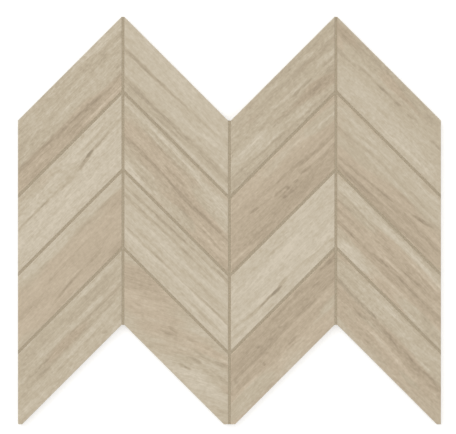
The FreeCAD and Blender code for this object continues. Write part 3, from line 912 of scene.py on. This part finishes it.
def cement_grout():
    """Sanded cement grout, wiped level with a damp sponge: dull taupe with fine pale and dark grains."""
    material, tree, output = new_material("cement_grout")
    place = add(tree, "TexCoord").outputs["Object"]
    sand = add(tree, "TexNoise", {}, {
        "Vector": place, "Scale": 1 / (GROUT_SAND_MM * MM), "Detail": GROUT_DETAIL,
    }).outputs["Fac"]
    colour = add(tree, "ValToRGB", {"stops": GROUT_COLOURS}, {"Fac": sand}).outputs["Color"]
    relief = add(tree, "Bump", {}, {
        "Strength": GROUT_RELIEF_STRENGTH, "Distance": GROUT_RELIEF_MM * MM, "Height": sand,
    }).outputs["Normal"]
    shader = add(tree, "BsdfPrincipled", {}, {
        "Base Color": colour, "Roughness": GROUT_ROUGHNESS, "Normal": relief,
    })
    tree.links.new(shader.outputs["BSDF"], output.inputs["Surface"])
    return material


def resin_dipped_glass(name, bundle_mm):
    """Glass-fibre yarn in a white resin dip: off-white with a soft shine, and pale and grey lines where the
    filaments run."""
    material, tree, output = new_material(name)
    place = add(tree, "TexCoord").outputs["Object"]
    bundle_place = add(tree, "Mapping", {"vector_type": "TEXTURE"}, {
        "Vector": place, "Scale": [size * MM for size in bundle_mm],
    }).outputs["Vector"]
    bundles = add(tree, "TexNoise", {}, {
        "Vector": bundle_place, "Scale": 1.0, "Detail": YARN_DETAIL,
    }).outputs["Fac"]
    colour = add(tree, "ValToRGB", {"stops": YARN_COLOURS}, {"Fac": bundles}).outputs["Color"]
    relief = add(tree, "Bump", {}, {
        "Strength": YARN_RELIEF_STRENGTH, "Distance": YARN_RELIEF_MM * MM, "Height": bundles,
    }).outputs["Normal"]
    shader = add(tree, "BsdfPrincipled", {}, {
        "Base Color": colour, "Roughness": YARN_ROUGHNESS, "Normal": relief,
    })
    tree.links.new(shader.outputs["BSDF"], output.inputs["Surface"])
    return material


# The woven net: flat level yarns, held at each crossing between the two yarns of an upright pair,
# which swap sides from one level yarn to the next

NET_CELLS_PER_COLUMN = 7
LEVEL_YARN_WIDTH_MM = 1.2
LEVEL_YARN_THICKNESS_MM = 0.16
UPRIGHT_YARN_WIDTH_MM = 0.6
UPRIGHT_PAIR_WIDTH_MM = 1.2
YARN_SIDES = 8
YARN_STEPS_PER_CELL = 8
# A laid yarn strays this far to either side, over these lengths, and this many radians behind the last yarn
STRAY_MM = 0.14
STRAY_LENGTHS_MM = (41.0, 17.0)
STRAY_STEP = 1.7
# The order of the net's materials
LEVEL_MATERIAL = 0
UPRIGHT_MATERIAL = 1


def stray(along_mm, yarn):
    """How far a yarn lies off its line, the same on both sides of a seam between columns."""
    waves = [math.sin(2 * math.pi * along_mm / length + STRAY_STEP * yarn) for length in STRAY_LENGTHS_MM]
    return STRAY_MM * sum(waves) / len(waves)


def add_yarn(net, centres, across, width_mm, thickness_mm, material_index):
    """A flattened tube along the centres, closed at both ends."""
    points, faces, material_indices = net
    angles = [2 * math.pi * side / YARN_SIDES for side in range(YARN_SIDES)]
    first = len(points)
    for centre in centres:
        for angle in angles:
            offset = across * (math.cos(angle) * width_mm / 2)
            offset.z = math.sin(angle) * thickness_mm / 2
            points.append((centre + offset) * MM)
    for ring in range(len(centres) - 1):
        for side in range(YARN_SIDES):
            a = first + ring * YARN_SIDES + side
            b = first + ring * YARN_SIDES + (side + 1) % YARN_SIDES
            faces.append((a, b, b + YARN_SIDES, a + YARN_SIDES))
    last = first + (len(centres) - 1) * YARN_SIDES
    faces.append([first + side for side in reversed(range(YARN_SIDES))])
    faces.append([last + side for side in range(YARN_SIDES)])
    material_indices.extend([material_index] * (len(faces) - len(material_indices)))


def stations(start, end, step):
    """Evenly spaced places from start to end, about a step apart."""
    count = max(1, round((end - start) / step))
    return [start + (end - start) * i / count for i in range(count + 1)]


def woven_net(column, materials):
    """The stretch of net behind one column, cut along the column's slanted ends."""
    node = f"mesh_column_{column}"
    low, high = (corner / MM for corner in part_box(node))
    chip = chip_place(column, 1)
    neighbour = chip_place(2 if column == 1 else column - 1, 1)
    pitch = abs(neighbour.middle.x - chip.middle.x) / NET_CELLS_PER_COLUMN
    slope = math.tan(chip.turn)
    middle_y = (low.y + high.y) / 2
    centre_z = (low.z + high.z) / 2
    to_outer_upright = (NET_CELLS_PER_COLUMN - 1) / 2 * pitch
    half_edge = (high.y - low.y) / 2 - (to_outer_upright + UPRIGHT_PAIR_WIDTH_MM / 2) * abs(slope)
    step = pitch / YARN_STEPS_PER_CELL
    net = ([], [], [])

    highest = half_edge + (to_outer_upright - pitch / 2) * abs(slope)
    level_count = 2 * math.floor(highest / pitch + 0.5)
    along_y = Vector((0, 1, 0))
    for level in range(level_count):
        rise = (level - (level_count - 1) / 2) * pitch
        ends = sorted((rise + end * half_edge) / slope + chip.middle.x for end in (-1, 1))
        left = max(low.x, ends[0])
        right = min(high.x, ends[1])
        centres = [
            Vector((x, middle_y + rise + stray(x, level), centre_z)) for x in stations(left, right, step)
        ]
        add_yarn(net, centres, along_y, LEVEL_YARN_WIDTH_MM, LEVEL_YARN_THICKNESS_MM, LEVEL_MATERIAL)

    # Of a pair, one yarn goes over each level yarn and one under it, and they change places half way between
    upright_thickness = (high.z - low.z - LEVEL_YARN_THICKNESS_MM) / 2
    at_crossing = (LEVEL_YARN_THICKNESS_MM + upright_thickness) / 2
    half_way = -upright_thickness / 2
    mean_lift = (at_crossing + half_way) / 2
    lift_swing = (at_crossing - half_way) / 2
    sway = (UPRIGHT_PAIR_WIDTH_MM - UPRIGHT_YARN_WIDTH_MM) / 2
    against_x = Vector((-1, 0, 0))
    for upright in range(NET_CELLS_PER_COLUMN):
        x = chip.middle.x + (upright - (NET_CELLS_PER_COLUMN - 1) / 2) * pitch
        leaning = (x - chip.middle.x) * slope
        for side in (-1, 1):
            centres = []
            for rise in stations(leaning - half_edge, leaning + half_edge, step):
                cells = rise / pitch + 0.5
                lift = mean_lift + lift_swing * math.cos(2 * math.pi * cells)
                place = x + side * sway * math.cos(math.pi * cells) + stray(rise, upright)
                centres.append(Vector((place, middle_y + rise, centre_z + side * lift)))
            add_yarn(net, centres, against_x, UPRIGHT_YARN_WIDTH_MM, upright_thickness, UPRIGHT_MATERIAL)

    points, faces, material_indices = net
    mesh = bpy.data.meshes.new(f"woven_net_column_{column}")
    mesh.from_pydata(points, [], faces)
    mesh.polygons.foreach_set("material_index", material_indices)
    mesh.shade_smooth()
    obj = bpy.data.objects.new(mesh.name, mesh)
    for material in materials:
        mesh.materials.append(material)
    bpy.context.scene.collection.objects.link(obj)
    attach(obj, "root")
    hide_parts(node)


# Stage

# The picture's width, and the millimetres to a pixel at the tile's face
PICTURE_WIDTH_PX = 456
FACE_MM_PER_PIXEL = 0.709
# Where the camera stands over the face, from the middle of the sheet
CAMERA_AIM_MM = (-1.03, 2.53)
LENS_MM = 250
SENSOR_MM = 36
# The floor's size and its gap under the sheet, in metres, its colour, and how far it is lifted to white
FLOOR_SIZE = 8.0
FLOOR_GAP = 0.05 * MM
FLOOR_COLOUR = "#E9E9E9"
FLOOR_LIFT = 0.42
# The strength of the sky as light and as it is seen, and the colour of both sky and lift
SKY_LIGHT = 0.63
SKY_SEEN = 1.0
WHITE = "#FFFFFF"
# The lamps' distance and size, in metres
LAMP_DISTANCE = 3.0
LAMP_SIZE = 2.0


def seen_directly(tree):
    """1 for rays from the camera and for those that gloss or glass sends on."""
    path = add(tree, "LightPath")
    seen = path.outputs["Is Camera Ray"]
    for kind in ("Is Glossy Ray", "Is Transmission Ray"):
        seen = add(tree, "Math", {"operation": "MAXIMUM"}, {0: seen, 1: path.outputs[kind]}).outputs[0]
    return seen


def floor():
    """White paper floor that keeps a soft shadow."""
    half = FLOOR_SIZE / 2
    mesh = bpy.data.meshes.new("floor")
    corners = [(x, y, -FLOOR_GAP) for x, y in ((-half, -half), (half, -half), (half, half), (-half, half))]
    mesh.from_pydata(corners, [], [(0, 1, 2, 3)])
    obj = bpy.data.objects.new("floor", mesh)
    bpy.context.scene.collection.objects.link(obj)
    material, tree, output = new_material("white_paper")
    paper = add(tree, "BsdfDiffuse", {}, {"Color": linear(FLOOR_COLOUR)}).outputs[0]
    lift = add(tree, "Math", {"operation": "MULTIPLY"}, {0: seen_directly(tree), 1: FLOOR_LIFT}).outputs[0]
    glow = add(tree, "Emission", {}, {"Color": linear(WHITE), "Strength": lift}).outputs[0]
    both = add(tree, "AddShader", {}, {0: paper, 1: glow}).outputs[0]
    tree.links.new(both, output.inputs["Surface"])
    dress(obj, material)


def sky():
    """Even white surroundings."""
    world = bpy.data.worlds.new("studio")
    world.use_nodes = True
    tree = world.node_tree
    tree.nodes.clear()
    strength = add(tree, "MapRange", {}, {
        "Value": seen_directly(tree), "To Min": SKY_LIGHT, "To Max": SKY_SEEN,
    }).outputs["Result"]
    background = add(tree, "Background", {}, {"Color": linear(WHITE), "Strength": strength})
    output = add(tree, "OutputWorld")
    tree.links.new(background.outputs[0], output.inputs["Surface"])
    bpy.context.scene.world = world


def lamp(name, azimuth, elevation, power):
    """A large square soft lamp, aimed at the middle of the sheet."""
    data = bpy.data.lights.new(name, "AREA")
    data.shape = "SQUARE"
    data.size = LAMP_SIZE
    data.energy = power
    obj = bpy.data.objects.new(name, data)
    around, up = math.radians(azimuth), math.radians(elevation)
    towards = Vector((math.sin(around) * math.cos(up), -math.cos(around) * math.cos(up), math.sin(up)))
    obj.location = towards * LAMP_DISTANCE
    obj.rotation_euler = (-towards).to_track_quat("-Z", "Y").to_euler()
    bpy.context.scene.collection.objects.link(obj)


def camera():
    """Straight above the face, with a long lens."""
    data = bpy.data.cameras.new("camera")
    data.lens = LENS_MM
    data.sensor_width = SENSOR_MM
    data.sensor_fit = "HORIZONTAL"
    obj = bpy.data.objects.new("camera", data)
    view_width = PICTURE_WIDTH_PX * FACE_MM_PER_PIXEL * MM
    height = view_width * LENS_MM / SENSOR_MM
    face = cad_box[1].z
    obj.location = (CAMERA_AIM_MM[0] * MM, CAMERA_AIM_MM[1] * MM, face + height)
    bpy.context.scene.collection.objects.link(obj)
    bpy.context.scene.camera = obj


camera()
floor()
sky()
lamp("key", azimuth=-140, elevation=62, power=24)
lamp("fill", azimuth=40, elevation=60, power=9)

for column in range(1, COLUMNS + 1):
    for row in range(1, ROWS + 1):
        chip = chip_place(column, row)
        slice_z = SLICE_STEP * (ROWS * column + row)
        material = printed_porcelain(chip, PRINTS[column, row], HUE_AREAS[column, row], slice_z)
        dress(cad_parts[chip.name], material)

dress(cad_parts["joint_grout"], cement_grout())
level_bundle_mm = (BUNDLE_LENGTH_MM, BUNDLE_WIDTH_MM, BUNDLE_WIDTH_MM)
upright_bundle_mm = (BUNDLE_WIDTH_MM, BUNDLE_LENGTH_MM, BUNDLE_WIDTH_MM)
yarn_materials = [
    resin_dipped_glass("resin_dipped_glass_level_yarn", level_bundle_mm),
    resin_dipped_glass("resin_dipped_glass_upright_yarn", upright_bundle_mm),
]
for column in range(1, COLUMNS + 1):
    woven_net(column, yarn_materials)

bpy.context.scene.view_settings.view_transform = "Standard"
